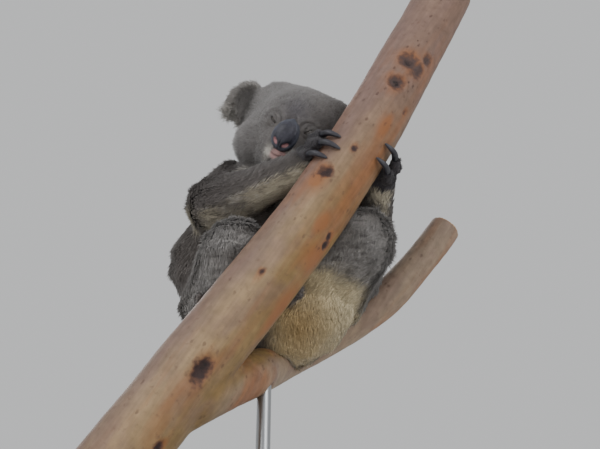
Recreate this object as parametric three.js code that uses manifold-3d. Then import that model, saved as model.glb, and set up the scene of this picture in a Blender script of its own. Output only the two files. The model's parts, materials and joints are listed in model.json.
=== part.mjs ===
// A koala asleep in the fork of a gum tree. It sits wedged between a leaning limb and a side
// branch, hugs the limb with all four feet and rests its chin on one forearm. A flat base and
// two rods hold the cut fork. Millimetres, +Z up, the koala faces -Y and its left side is +X.
import * as THREE from "three";
import { mergeVertices } from "three/addons/utils/BufferGeometryUtils.js";
import Module from "manifold-3d";

const wasm = await Module();
wasm.setup();

// Driving dimensions
const datumHeight = 590; // from the floor to the datum in the middle of the koala's body
const gap = 0.4; // clear space between neighbouring solids
const limbDepth = -115; // where the limb's axis lies in front of the datum
const limbRadius = { low: 39, high: 36 };
const branchRadius = { low: 26, high: 21 };
const rodRadius = 8;
const base = { long: 540, wide: 340, thick: 24, corner: 30, x: -60, y: -50 };
const headTilt = { pitch: 28, roll: 24, yaw: -8 };
const blend = { limbs: 22, torso: 40 }; // how softly one lump of flesh runs into the next
const armRadius = { shoulder: 42, elbow: 32, wrist: 21 };
const legRadius = { hip: 56, knee: 39, ankle: 25 };
const palmRadius = { heel: 21, knuckles: 17 };
const digitRadius = { hand: 9.2, foot: 6.6 };
const eyeRadius = 8.5;
const clawRadius = 4.6;

const at = (x, y, z) => new THREE.Vector3(x, y, z + datumHeight);
const rad = THREE.MathUtils.degToRad;
const mix = THREE.MathUtils.lerp;

// ---- Solids

// A geometry as a solid: shared corners merged, flattened triangles dropped, faces out.
function solidOf(geometry) {
  const bare = new THREE.BufferGeometry().setAttribute("position", geometry.getAttribute("position"));
  if (geometry.index) bare.setIndex(geometry.index);
  const merged = mergeVertices(bare, 1e-3);
  const corners = merged.index.array;
  const kept = [];
  for (let i = 0; i < corners.length; i += 3) {
    const [a, b, c] = corners.slice(i, i + 3);
    if (a !== b && b !== c && c !== a) kept.push([a, b, c]);
  }
  const vertProperties = merged.attributes.position.array;
  const wound = (order) => new wasm.Manifold(
    new wasm.Mesh({ numProp: 3, vertProperties, triVerts: new Uint32Array(kept.flatMap(order)) }),
  );
  const made = wound((t) => t);
  return made.volume() > 0 ? made : wound(([a, b, c]) => [a, c, b]);
}

function geometryOf(solid) {
  const { vertProperties, triVerts, numProp, numVert } = solid.getMesh();
  const place = new Float32Array(numVert * 3);
  for (let i = 0; i < numVert; i++) place.set(vertProperties.subarray(i * numProp, i * numProp + 3), i * 3);
  const geometry = new THREE.BufferGeometry().setAttribute("position", new THREE.BufferAttribute(place, 3));
  geometry.setIndex(new THREE.BufferAttribute(triVerts, 1));
  geometry.computeVertexNormals();
  return geometry;
}

// A solid as one body: the crumbs that cuts and merged corners leave are dropped.
function oneBody(solid) {
  const bodies = solid.decompose();
  const largest = bodies.reduce((a, b) => (b.volume() > a.volume() ? b : a));
  const merged = solidOf(geometryOf(largest));
  return merged.decompose().length > 1 ? oneBody(merged) : merged;
}

// The solid without all that lies beyond a plane. The plane's direction points at what goes.
function cutBeyond(solid, point, direction, slide) {
  const side = 700;
  const up = new THREE.Vector3(0, 0, 1);
  const block = new THREE.BoxGeometry(side, side, side).translate(0, 0, side / 2 + slide);
  block.applyQuaternion(new THREE.Quaternion().setFromUnitVectors(up, direction));
  block.translate(point.x, point.y, point.z);
  return solid.subtract(solidOf(block));
}

// A joint is a plane between two parts: the one before it, and the one beyond. Grown parts
// reach just past the plane, so that two of them leave no film between them.
function joint(point, direction) {
  const onward = direction.clone().normalize();
  const backward = onward.clone().negate();
  const slide = (grow) => grow * 0.6 - gap / 2;
  return {
    before: (solid, grow) => cutBeyond(solid, point, onward, slide(grow)),
    beyond: (solid, grow) => cutBeyond(solid, point, backward, slide(grow)),
  };
}

// The joint at b of two bones a-b and b-c halves the angle between them.
function jointAt(a, b, c) {
  const into = b.clone().sub(a).normalize();
  return joint(b, c.clone().sub(b).normalize().add(into));
}

// A turned profile bent along a curve. Its radius depends on the way along, 0 to 1.
function shaft(path, radiusAt, sides, stations) {
  const frameCount = 80;
  const rings = stations.map((t) => new THREE.Vector2(radiusAt(t), t));
  const profile = [new THREE.Vector2(0, 0), ...rings, new THREE.Vector2(0, 1)];
  const turned = new THREE.LatheGeometry(profile, sides);
  const frames = path.computeFrenetFrames(frameCount);
  const place = turned.attributes.position;
  for (let i = 0; i < place.count; i++) {
    const t = place.getY(i);
    const frame = Math.round(t * frameCount);
    const point = path.getPointAt(t);
    point.addScaledVector(frames.normals[frame], place.getX(i));
    point.addScaledVector(frames.binormals[frame], place.getZ(i));
    place.setXYZ(i, point.x, point.y, point.z);
  }
  return solidOf(turned);
}

const evenly = (count) => Array.from({ length: count + 1 }, (_, i) => i / count);

// ---- Flesh: lumps that blend, each giving the distance to itself, negative inside

const unturned = new THREE.Quaternion();

function lump(centre, rx, ry, rz, turn = unturned) {
  const back = turn.clone().invert();
  return (p) => {
    const q = p.clone().sub(centre).applyQuaternion(back);
    const k = Math.hypot(q.x / rx, q.y / ry, q.z / rz);
    const slope = Math.hypot(q.x / rx ** 2, q.y / ry ** 2, q.z / rz ** 2);
    return slope > 0 ? (k * (k - 1)) / slope : -Math.min(rx, ry, rz);
  };
}

// Flesh round a bone, with a radius at each end.
function sleeve(a, b, ra, rb) {
  const along = b.clone().sub(a);
  return (p) => {
    const q = p.clone().sub(a);
    const t = THREE.MathUtils.clamp(q.dot(along) / along.lengthSq(), 0, 1);
    return q.addScaledVector(along, -t).length() - mix(ra, rb, t);
  };
}

function distance(lumps, p, soft) {
  return lumps.reduce((soFar, one) => {
    const d = one(p);
    const h = Math.max(soft - Math.abs(soFar - d), 0) / soft;
    return Math.min(soFar, d) - (h * h * soft) / 4;
  }, 1e4);
}

// How far the lumps' surface, grown a little, is from a point in them, along a direction.
function reachOut(lumps, from, out, grow, soft) {
  const stride = 4;
  const farthest = 300;
  const outside = (d) => distance(lumps, from.clone().addScaledVector(out, d), soft) > grow;
  let inner = 0;
  let outer = stride;
  while (!outside(outer) && outer < farthest) {
    inner = outer;
    outer += stride;
  }
  for (let step = 0; step < 12; step++) {
    const half = (inner + outer) / 2;
    if (outside(half)) outer = half;
    else inner = half;
  }
  return inner;
}

// A ball whose corners are pushed out to the lumps' surface.
function fleshBall(centre, detail, lumps, grow, soft = blend.limbs) {
  const ball = new THREE.IcosahedronGeometry(1, detail);
  const place = ball.attributes.position;
  for (let i = 0; i < place.count; i++) {
    const out = new THREE.Vector3().fromBufferAttribute(place, i).normalize();
    const end = out.clone().multiplyScalar(reachOut(lumps, centre, out, grow, soft)).add(centre);
    place.setXYZ(i, end.x, end.y, end.z);
  }
  return solidOf(ball);
}

// A capsule round the line a-b, with its corners pushed out to the lumps' surface.
function fleshTube(a, b, facets, lumps, grow, soft = blend.limbs) {
  const along = b.clone().sub(a);
  const long = along.length();
  const up = new THREE.Vector3(0, 1, 0);
  const turn = new THREE.Quaternion().setFromUnitVectors(up, along.clone().normalize());
  const tube = new THREE.CapsuleGeometry(1, long, facets.cap, facets.round, facets.along);
  tube.applyQuaternion(turn);
  const middle = a.clone().add(b).multiplyScalar(0.5);
  const place = tube.attributes.position;
  for (let i = 0; i < place.count; i++) {
    const p = new THREE.Vector3().fromBufferAttribute(place, i).add(middle);
    const t = THREE.MathUtils.clamp(p.clone().sub(a).dot(along) / (long * long), 0, 1);
    const from = a.clone().addScaledVector(along, t);
    const out = p.sub(from).normalize();
    const end = out.clone().multiplyScalar(reachOut(lumps, from, out, grow, soft)).add(from);
    place.setXYZ(i, end.x, end.y, end.z);
  }
  return solidOf(tube);
}

// ---- The pose

const limbPath = new THREE.CatmullRomCurve3([
  at(-220, limbDepth, -395), at(-120, limbDepth, -248), at(3, limbDepth, -74), at(70, limbDepth, 40),
  at(131, limbDepth, 160), at(197, limbDepth, 296),
]);
const branchPath = new THREE.CatmullRomCurve3([
  at(-150, limbDepth, -300), at(-80, -92, -249), at(-42, -18, -206), at(-8, 36, -164), at(44, 58, -129),
  at(94, 60, -96), at(132, 62, -60), at(169, 64, -11), at(201, 66, 32),
]);

const bones = {
  right: {
    shoulder: at(-83, 6, 56), elbow: at(-106, -58, -8), wrist: at(-2, -112, 11),
    hip: at(-96, 16, -110), knee: at(-76, -74, -84), ankle: at(-78, -58, -164),
  },
  left: {
    shoulder: at(46, 8, 62), elbow: at(86, 14, -26), wrist: at(95, -76, 8),
    hip: at(34, 12, -88), knee: at(72, -60, -60), ankle: at(-2, -52, -108),
  },
};
const sides = { right: -1, left: 1 };

// Each palm's height and turn round the limb, from its front towards its right in front view,
// and the way round and how far, in degrees, its long digits go.
const grips = {
  hand_right: { height: 12, turned: -104, way: 1, reach: 48 },
  hand_left: { height: 34, turned: 128, way: 1, reach: 44 },
  foot_right: { height: -184, turned: -132, way: -1, reach: 34 },
  foot_left: { height: -122, turned: 168, way: 1, reach: 30 },
};

const headCentre = at(-9, -42, 100);
const headTurn = new THREE.Quaternion().setFromEuler(
  new THREE.Euler(rad(headTilt.pitch), rad(headTilt.roll), rad(headTilt.yaw), "ZXY"));
// A place in the head, set out with the face towards -Y and the crown up, then turned with it.
const inHead = (x, y, z) => new THREE.Vector3(x, y, z).applyQuaternion(headTurn).add(headCentre);
const headLump = (x, y, z, rx, ry, rz) => lump(inHead(x, y, z), rx, ry, rz, headTurn);

const headLumps = [
  headLump(0, 8, 16, 58, 62, 60), // skull
  headLump(0, -28, 24, 42, 34, 36), // forehead
  headLump(-42, 12, 42, 26, 22, 30), // roots of the ears
  headLump(42, 12, 42, 26, 22, 30),
  headLump(-40, -8, -18, 33, 38, 32), // cheeks
  headLump(40, -8, -18, 33, 38, 32),
  headLump(0, -46, -16, 27, 32, 27), // muzzle
  headLump(0, -48, -36, 18, 26, 13), // chin
];
const neckLumps = [sleeve(at(-16, 10, 60), at(-10, -16, 92), 60, 50)];
const torsoLumps = [
  lump(at(-30, -8, -114), 98, 60, 86), // rump
  lump(at(-29, 18, -48), 140, 80, 88), // belly and back
  lump(at(-24, 16, 40), 104, 78, 60), // chest and shoulders
];

// The limb's centre at a height over the datum, and the directions along and across it.
function limbAt(height) {
  let low = 0;
  let high = 1;
  for (let step = 0; step < 30; step++) {
    const middle = (low + high) / 2;
    if (limbPath.getPointAt(middle).z < height + datumHeight) low = middle;
    else high = middle;
  }
  const centre = limbPath.getPointAt(low);
  const along = limbPath.getTangentAt(low);
  const front = new THREE.Vector3(0, -1, 0);
  const side = new THREE.Vector3().crossVectors(along, front);
  return { centre, along, front, side, radius: mix(limbRadius.low, limbRadius.high, low) };
}

// A point by the limb: slid along it, turned round it from its front, and clear of the bark.
function byLimb(height, slide, degrees, clear) {
  const { centre, along, front, side, radius } = limbAt(height);
  return centre.addScaledVector(along, slide)
    .addScaledVector(front, Math.cos(rad(degrees)) * (radius + clear))
    .addScaledVector(side, Math.sin(rad(degrees)) * (radius + clear));
}

// ---- Nodes

// Each node is made by a function of how far it is grown, so that it can cut its neighbours
// with a gap. Earlier nodes cut later ones.
const nodes = [];
const add = (name, finish, make) => nodes.push({ name, finish, make });

const finishes = {
  coat: { color: "#7d766c", roughness: 0.95 },
  paleCoat: { color: "#cdc4b4", roughness: 0.95 },
  darkCoat: { color: "#5c554e", roughness: 0.95 },
  bark: { color: "#b78f74", roughness: 0.8 },
  nose: { color: "#3a3230", roughness: 0.5 },
  claw: { color: "#2a2522", roughness: 0.35 },
  eye: { color: "#1d1512", roughness: 0.15 },
  steel: { color: "#8b8d8f", roughness: 0.35, metalness: 0.9 },
  base: { color: "#3b3a38", roughness: 0.55 },
};

function slab() {
  const { long, wide, thick, corner, x, y } = base;
  const [halfLong, halfWide] = [long / 2 - corner, wide / 2 - corner];
  const outline = new THREE.Shape();
  outline.absarc(halfLong, -halfWide, corner, -Math.PI / 2, 0);
  outline.absarc(halfLong, halfWide, corner, 0, Math.PI / 2);
  outline.absarc(-halfLong, halfWide, corner, Math.PI / 2, Math.PI);
  outline.absarc(-halfLong, -halfWide, corner, Math.PI, Math.PI * 1.5);
  const plate = new THREE.ExtrudeGeometry(outline, { depth: thick, bevelEnabled: false, curveSegments: 5 });
  return solidOf(plate.translate(x, y, 0));
}

function rod(x, y, top, grow) {
  const foot = base.thick + gap - grow;
  const post = new THREE.CylinderGeometry(rodRadius + grow, rodRadius + grow, top + grow - foot, 12);
  return solidOf(post.rotateX(Math.PI / 2).translate(x, y, (top + grow + foot) / 2));
}

function wood(path, radius, roundFacets, lengthFacets, grow) {
  return shaft(path, (t) => mix(radius.low, radius.high, t) + grow, roundFacets, evenly(lengthFacets));
}

add("stand_base", finishes.base, slab);
add("stand_rod_lower", finishes.steel, (grow) => rod(-188, limbDepth, datumHeight - 348, grow));
add("stand_rod_upper", finishes.steel, (grow) => rod(-40, -42, datumHeight - 212, grow));
add("perch_limb", finishes.bark, (grow) => wood(limbPath, limbRadius, 15, 8, grow));
add("perch_branch", finishes.bark, (grow) => wood(branchPath, branchRadius, 10, 8, grow));

// A digit starts inside the palm and lies round the limb, and its claw hooks on beyond it.
function digitPaths(grip, thick, { spread, turn, reach }) {
  const place = (slide, degrees, clear) => byLimb(grip.height, slide, grip.turned + turn * degrees, clear);
  const flesh = new THREE.QuadraticBezierCurve3(
    place(spread * 0.6, 0, thick + 5), place(spread, reach * 0.55, thick + 9),
    place(spread * 1.15, reach, thick + 1));
  const claw = new THREE.QuadraticBezierCurve3(
    place(spread * 1.15, reach - 3, thick + 1), place(spread * 1.2, reach + 20, thick + 8),
    place(spread * 1.2, reach + 34, 2));
  return { flesh, claw };
}

// Hands oppose two digits to three, and feet a clawless big toe to four. A long digit has its
// place across the palm and how many degrees further than the first it reaches.
const digitSets = {
  hand: { long: [[10, 0], [-4, 12], [-18, 0]], opposed: [10, -9], opposedReach: 42, opposedClaws: true },
  foot: {
    long: [[20, 0], [7, 4], [-7, 4], [-20, 0]], opposed: [2], opposedReach: 42, opposedClaws: false,
  },
};

for (const [name, grip] of Object.entries(grips)) {
  const [kind, side] = name.split("_");
  const set = digitSets[kind];
  const thick = digitRadius[kind];
  const { elbow, wrist, knee, ankle } = bones[side];
  const [before, heel] = kind === "hand" ? [elbow, wrist] : [knee, ankle];
  const palm = byLimb(grip.height, 0, grip.turned, 14);
  grip.joint = jointAt(before, heel, palm);

  const digits = [
    ...set.long.map(([spread, further]) => (
      { spread, turn: grip.way, reach: grip.reach + further, clawed: true })),
    ...set.opposed.map((spread) => (
      { spread, turn: -grip.way, reach: set.opposedReach, clawed: set.opposedClaws })),
  ].map((digit) => ({ ...digit, paths: digitPaths(grip, thick, digit) }));

  digits.forEach(({ paths, clawed }, i) => {
    if (!clawed) return;
    add(`claw_${name}_${i + 1}`, finishes.claw, (grow) =>
      shaft(paths.claw, (t) => clawRadius * Math.sqrt(1 - t) + 0.3 + grow, 5, [0.02, 0.5, 0.94]));
  });
  add(name, finishes.darkCoat, (grow) => {
    const pad = [sleeve(heel, palm, palmRadius.heel, palmRadius.knuckles)];
    let whole = fleshTube(heel, palm, { cap: 2, round: 8, along: 1 }, pad, grow);
    for (const { paths } of digits) {
      const radiusAt = (t) => thick * Math.sqrt(1 - (2 * t - 1) ** 6) + grow;
      whole = whole.add(shaft(paths.flesh, radiusAt, 6, [0.04, 0.55, 0.95]));
    }
    return grip.joint.beyond(whole, grow);
  });
}

// The face
add("nose", finishes.nose, (grow) => fleshBall(inHead(0, -76, -1), 2, [
  headLump(0, -77, -5, 14, 11, 15), headLump(0, -71, 13, 8.5, 11, 16),
], grow));
for (const [side, sign] of Object.entries(sides)) {
  const centre = inHead(sign * 22, -52.5, 14);
  add(`eye_${side}`, finishes.eye, (grow) =>
    fleshBall(centre, 1, [lump(centre, eyeRadius, eyeRadius, eyeRadius)], grow));
}

const nape = joint(headCentre.clone().add(new THREE.Vector3(0, 36, -30)), new THREE.Vector3(0, 0.77, -0.64));
const collar = joint(at(-14, 10, 74), new THREE.Vector3(0, 0.3, -0.95));
const waist = joint(at(-20, 10, 8), new THREE.Vector3(0, 0.1, -1));
const hips = joint(at(-20, 10, -78), new THREE.Vector3(0, -0.1, -1));

add("head", finishes.coat, (grow) =>
  nape.before(fleshBall(headCentre, 5, [...headLumps, ...neckLumps], grow), grow));
for (const [side, sign] of Object.entries(sides)) {
  const centre = inHead(sign * 80, 12, 22);
  const flare = new THREE.Quaternion().setFromEuler(
    new THREE.Euler(rad(-6), rad(sign * -30), rad(sign * -24), "ZYX"));
  const ear = lump(centre, 35, 15, 43, headTurn.clone().multiply(flare));
  add(`ear_${side}`, finishes.coat, (grow) => fleshBall(centre, 2, [ear], grow));
}

// Arms and legs: two bones each, parted at the elbow or knee
function bentLimb(upperName, lowerName, [top, bend, end], [ra, rb, rc], endJoint) {
  const facets = { cap: 2, round: 9, along: 2 };
  const upper = sleeve(top, bend, ra, rb);
  const lower = sleeve(bend, end, rb, rc);
  const middle = jointAt(top, bend, end);
  add(lowerName, finishes.coat, (grow) =>
    endJoint.before(middle.beyond(fleshTube(bend, end, facets, [lower, upper], grow), grow), grow));
  add(upperName, finishes.coat, (grow) =>
    middle.before(fleshTube(top, bend, facets, [upper, lower], grow), grow));
}

for (const side of Object.keys(sides)) {
  const { shoulder, elbow, wrist } = bones[side];
  const radii = [armRadius.shoulder, armRadius.elbow, armRadius.wrist];
  const hand = grips[`hand_${side}`].joint;
  bentLimb(`upper_arm_${side}`, `forearm_${side}`, [shoulder, elbow, wrist], radii, hand);
}
for (const side of Object.keys(sides)) {
  const { hip, knee, ankle } = bones[side];
  const radii = [legRadius.hip, legRadius.knee, legRadius.ankle];
  const foot = grips[`foot_${side}`].joint;
  bentLimb(`thigh_${side}`, `shin_${side}`, [hip, knee, ankle], radii, foot);
}

// The trunk of the body
add("neck", finishes.coat, (grow) => {
  const lumps = [...torsoLumps, ...neckLumps, ...headLumps];
  const facets = { cap: 3, round: 14, along: 1 };
  const whole = fleshTube(at(-14, 10, 60), at(-12, -6, 92), facets, lumps, grow, blend.torso);
  return collar.before(nape.beyond(whole, grow), grow);
});
const torso = (grow) =>
  fleshBall(at(-18, 14, -40), 4, [...torsoLumps, ...neckLumps], grow, blend.torso);
add("chest", finishes.coat, (grow) => waist.before(collar.beyond(torso(grow), grow), grow));
add("belly", finishes.coat, (grow) => hips.before(waist.beyond(torso(grow), grow), grow));
add("rump", finishes.paleCoat, (grow) => hips.beyond(torso(grow), grow));

// ---- The model

const koala = new THREE.Group();
const placed = [];
for (const { name, finish, make } of nodes) {
  let solid = make(0);
  const box = solid.boundingBox();
  const near = (other) => [0, 1, 2].every((i) => box.min[i] < other.max[i] && other.min[i] < box.max[i]);
  for (const other of placed) {
    if (near(other.box)) solid = solid.subtract(other.solid);
  }
  const mesh = new THREE.Mesh(geometryOf(oneBody(solid)), new THREE.MeshStandardMaterial(finish));
  mesh.name = name;
  koala.add(mesh);
  const grown = make(gap);
  placed.push({ solid: grown, box: grown.boundingBox() });
}

export default koala;
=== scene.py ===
# A koala asleep in the fork of a gum tree: one skin under a coat of mesh tufts, with its nose, eyes
# and claws, the barked perch and the stand. Metres, +Z up, the koala faces -Y, its left side is +X.
import json
import math

import bmesh
import bpy
import numpy as np
from mathutils import Matrix, Vector, noise
from mathutils.bvhtree import BVHTree

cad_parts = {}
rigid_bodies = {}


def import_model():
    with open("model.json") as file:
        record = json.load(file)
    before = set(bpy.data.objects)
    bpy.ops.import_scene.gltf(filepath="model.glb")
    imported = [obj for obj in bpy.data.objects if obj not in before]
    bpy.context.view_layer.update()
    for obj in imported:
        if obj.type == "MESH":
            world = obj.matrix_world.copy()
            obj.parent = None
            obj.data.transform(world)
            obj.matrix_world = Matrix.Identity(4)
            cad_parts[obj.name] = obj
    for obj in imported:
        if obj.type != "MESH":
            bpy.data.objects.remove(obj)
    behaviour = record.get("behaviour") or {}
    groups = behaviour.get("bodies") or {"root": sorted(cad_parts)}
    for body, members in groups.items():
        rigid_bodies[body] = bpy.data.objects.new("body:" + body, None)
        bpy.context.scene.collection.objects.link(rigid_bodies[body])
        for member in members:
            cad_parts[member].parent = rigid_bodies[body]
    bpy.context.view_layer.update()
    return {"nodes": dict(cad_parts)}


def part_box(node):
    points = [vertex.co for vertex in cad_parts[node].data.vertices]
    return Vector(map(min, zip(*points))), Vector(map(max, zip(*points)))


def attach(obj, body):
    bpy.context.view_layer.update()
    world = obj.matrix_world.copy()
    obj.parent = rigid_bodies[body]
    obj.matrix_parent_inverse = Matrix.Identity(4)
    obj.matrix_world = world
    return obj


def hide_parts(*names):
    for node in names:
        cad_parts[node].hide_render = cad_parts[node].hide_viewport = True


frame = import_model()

mm = 0.001
weld = 0.02 * mm  # corners of the frame's triangles closer than this are one
sides = {"right": -1, "left": 1}


# Helpers: numbers

def linearColour(code):
    parts = np.array([int(code[i:i + 2], 16) for i in (1, 3, 5)]) / 255
    return np.where(parts <= 0.04045, parts / 12.92, ((parts + 0.055) / 1.055) ** 2.4)


def smoothStep(low, high, values):
    t = np.clip((values - low) / (high - low), 0, 1)
    return t * t * (3 - 2 * t)


def bump(values, width):
    return np.exp(-(values / width) ** 2)


def lengthOf(vectors):
    return np.linalg.norm(vectors, axis=-1)


def unit(vectors):
    return vectors / np.maximum(lengthOf(vectors)[..., None], 1e-12)


def mixed(a, b, share):
    return a + (b - a) * share[:, None]


def noiseOf(points, size, seed=0):
    shift = Vector((7.3, 3.1, 5.7)) * seed
    return np.array([noise.noise(Vector(p) / size + shift) for p in points])


# Helpers: meshes

# One field of every vertex or edge, in rows
def rowsOf(items, field, width, kind=np.float32):
    rows = np.empty(len(items) * width, kind)
    items.foreach_get(field, rows)
    return rows.reshape(-1, width)


def pointsOf(mesh):
    return rowsOf(mesh.vertices, "co", 3).astype(float)


def setPoints(mesh, points):
    mesh.vertices.foreach_set("co", np.asarray(points, np.float32).ravel())
    mesh.update()


def normalsOf(mesh):
    return rowsOf(mesh.vertices, "normal", 3).astype(float)


def edgesOf(mesh):
    return rowsOf(mesh.edges, "vertices", 2, np.int32)


# Each point's mean of its neighbours' values
def aroundMean(values, edges):
    columns = values if values.ndim > 1 else values[:, None]
    count = len(columns)
    a, b = edges[:, 0], edges[:, 1]
    degree = np.maximum(np.bincount(a, minlength=count) + np.bincount(b, minlength=count), 1)
    total = [np.bincount(a, columns[b, k], count) + np.bincount(b, columns[a, k], count)
             for k in range(columns.shape[1])]
    return (np.stack(total, 1) / degree[:, None]).reshape(values.shape)


def spread(values, edges, times, share=0.5):
    for _ in range(times):
        values = values + (aroundMean(values, edges) - values) * share
    return values


# Smooths a mesh's points without shrinking it. amount is 0 to 1 at each point.
def relax(points, edges, times, amount):
    for _ in range(times):
        for share in (0.5, -0.52):
            points = points + (aroundMean(points, edges) - points) * (share * amount)[:, None]
    return points


def setAttribute(mesh, name, values, kind="FLOAT", domain="POINT"):
    field = {"FLOAT": "value", "INT": "value", "FLOAT_VECTOR": "vector", "FLOAT_COLOR": "color"}[kind]
    exact = np.asarray(values, np.int32 if kind == "INT" else np.float32)
    mesh.attributes.new(name, kind, domain).data.foreach_set(field, exact.ravel())


def meshFrom(form):
    mesh = bpy.data.meshes.new("work")
    form.to_mesh(mesh)
    form.free()
    return mesh


def newObject(name, data, material=None):
    data.name = name
    piece = bpy.data.objects.new(name, data)
    bpy.context.scene.collection.objects.link(piece)
    if material:
        data.materials.clear()
        data.materials.append(material)
    return piece


# A piece's mesh as its modifiers leave it. The piece itself goes.
def applied(piece):
    graph = bpy.context.evaluated_depsgraph_get()
    mesh = bpy.data.meshes.new_from_object(piece.evaluated_get(graph))
    bpy.data.objects.remove(piece)
    return mesh


def withModifier(mesh, kind, **settings):
    work = newObject("work", mesh)
    modifier = work.modifiers.new("work", kind)
    for name, value in settings.items():
        setattr(modifier, name, value)
    return applied(work)


def subdivided(mesh, levels):
    return withModifier(mesh, "SUBSURF", levels=levels, render_levels=levels)


def remeshed(mesh, voxel):
    return withModifier(mesh, "REMESH", mode="VOXEL", voxel_size=voxel)


# A copy of a CAD node as one merged shell, grown by a little
def shellOf(node, grow=0.0):
    form = bmesh.new()
    form.from_mesh(frame["nodes"][node].data)
    bmesh.ops.remove_doubles(form, verts=form.verts, dist=weld)
    form.normal_update()
    for corner in form.verts:
        corner.co += corner.normal * grow
    return form


# Several nodes' shells in one mesh, with the number of each face's node
def shellsOf(nodes, grow):
    whole = bmesh.new()
    owners = []
    for index, node in enumerate(nodes):
        whole.from_mesh(meshFrom(shellOf(node, grow)))
        owners += [index] * (len(whole.faces) - len(owners))
    return whole, owners


sharpAngle = math.radians(60)


def sharpEdges(form):
    return [e for e in form.edges if e.calc_face_angle(0) > sharpAngle]


# Only the largest connected part of a mesh
def largestPart(mesh):
    form = bmesh.new()
    form.from_mesh(mesh)
    left = set(form.verts)
    parts = []
    while left:
        reached = [left.pop()]
        part = list(reached)
        while reached:
            beside = {e.other_vert(v) for v in reached for e in v.link_edges} & left
            left -= beside
            reached = list(beside)
            part += reached
        parts.append(part)
    parts.sort(key=len)
    bmesh.ops.delete(form, geom=[v for part in parts[:-1] for v in part], context="VERTS")
    return meshFrom(form)


# The mesh with each edge halved where both its ends are chosen
def refined(mesh, chosen):
    form = bmesh.new()
    form.from_mesh(mesh)
    form.verts.ensure_lookup_table()
    cut = [e for e in form.edges if all(chosen[v.index] for v in e.verts)]
    bmesh.ops.subdivide_edges(form, edges=cut, cuts=1, use_grid_fill=True)
    return meshFrom(form)


# Helpers: node trees

def socketOf(sockets, key):
    if isinstance(key, int):
        return sockets[key]
    return next(s for s in sockets if s.enabled and s.name == key)


def addNode(tree, kind, inputs=None, **settings):
    node = tree.nodes.new(kind)
    for name, value in settings.items():
        setattr(node, name, value)
    for key, value in (inputs or {}).items():
        if isinstance(value, bpy.types.NodeSocket):
            tree.links.new(value, socketOf(node.inputs, key))
        else:
            socketOf(node.inputs, key).default_value = value
    return node


def newMaterial(name, **settings):
    material = bpy.data.materials.new(name)
    material.use_nodes = True
    surface = material.node_tree.nodes["Principled BSDF"]
    for key, value in settings.items():
        surface.inputs[key.replace("_", " ")].default_value = value
    return material, material.node_tree, surface


def linked(tree, surface, **values):
    for key, value in values.items():
        tree.links.new(value, surface.inputs[key.replace("_", " ")])


def enabledOutput(node):
    return next(s for s in node.outputs if s.enabled)


def attribute(tree, name, output="Fac"):
    return addNode(tree, "ShaderNodeAttribute", attribute_name=name).outputs[output]


def objectPlace(tree):
    return addNode(tree, "ShaderNodeTexCoord").outputs["Object"]


def calc(tree, operation, a, b=0.0):
    return addNode(tree, "ShaderNodeMath", {0: a, 1: b}, operation=operation).outputs[0]


def times(tree, a, b):
    return calc(tree, "MULTIPLY", a, b)


def plus(tree, a, b):
    return calc(tree, "ADD", a, b)


# A noise moved to have its mean at nought, then scaled
def centred(tree, value, scale):
    return times(tree, calc(tree, "SUBTRACT", value, 0.5), scale)


def ranged(tree, value, low, high, toLow=0.0, toHigh=1.0):
    return addNode(tree, "ShaderNodeMapRange", {"Value": value, "From Min": low, "From Max": high,
                                                "To Min": toLow, "To Max": toHigh}).outputs[0]


def blended(tree, share, a, b, blend="MIX"):
    a, b = ((*linearColour(c), 1) if isinstance(c, str) else c for c in (a, b))
    inputs = {"Factor": share, "A": a, "B": b}
    return enabledOutput(addNode(tree, "ShaderNodeMix", inputs, data_type="RGBA", blend_type=blend))


# A colour made lighter or darker by a factor
def scaled(tree, colour, factor):
    return blended(tree, 1.0, colour, factor, "MULTIPLY")


def noiseIn(tree, place, scale, detail=3.0):
    inputs = {"Vector": place, "Scale": scale, "Detail": detail}
    return addNode(tree, "ShaderNodeTexNoise", inputs).outputs[0]


# A noise whose values in the span come out between these two
def noisy(tree, place, scale, detail, span, to=(0.0, 1.0)):
    return ranged(tree, noiseIn(tree, place, scale, detail), *span, *to)


def cellsIn(tree, place, scale, feature="F1"):
    inputs = {"Vector": place, "Scale": scale}
    return addNode(tree, "ShaderNodeTexVoronoi", inputs, feature=feature).outputs[0]


# Coordinates turned about the Y axis, then stretched
def stretched(tree, place, scale, turn=0.0):
    turned = addNode(tree, "ShaderNodeMapping", {"Vector": place, "Rotation": (0, turn, 0)}).outputs[0]
    return addNode(tree, "ShaderNodeMapping", {"Vector": turned, "Scale": scale}).outputs[0]


def bumped(tree, surface, height, strength, distance):
    node = addNode(tree, "ShaderNodeBump", {"Height": height, "Strength": strength, "Distance": distance})
    linked(tree, surface, Normal=node.outputs[0])


# Hands a piece to the frame: it rides the one still body and stands for CAD nodes. Its slot argument is not
# used.
def handOver(piece, slot, *nodes):
    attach(piece, "root")
    if nodes:
        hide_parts(*nodes)


# Camera: low in front of the koala, looking up
view = {"target": Vector((0, 0, 0.590)), "distance": 1.1, "lookUp": 30, "lens": 50.77, "nearest": 0.02}


def makeCamera():
    rise = math.radians(view["lookUp"])
    camera = newObject("camera", bpy.data.cameras.new("camera"))
    camera.location = view["target"] - Vector((0, math.cos(rise), math.sin(rise))) * view["distance"]
    camera.rotation_euler = (math.radians(90) + rise, 0, 0)
    camera.data.lens = view["lens"]
    camera.data.clip_start = view["nearest"]
    bpy.context.scene.camera = camera


makeCamera()


# The head's own frame: face towards -Y, crown up, its origin in the middle of the skull

def middleOf(node):
    return pointsOf(frame["nodes"][node].data).mean(0)


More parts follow.
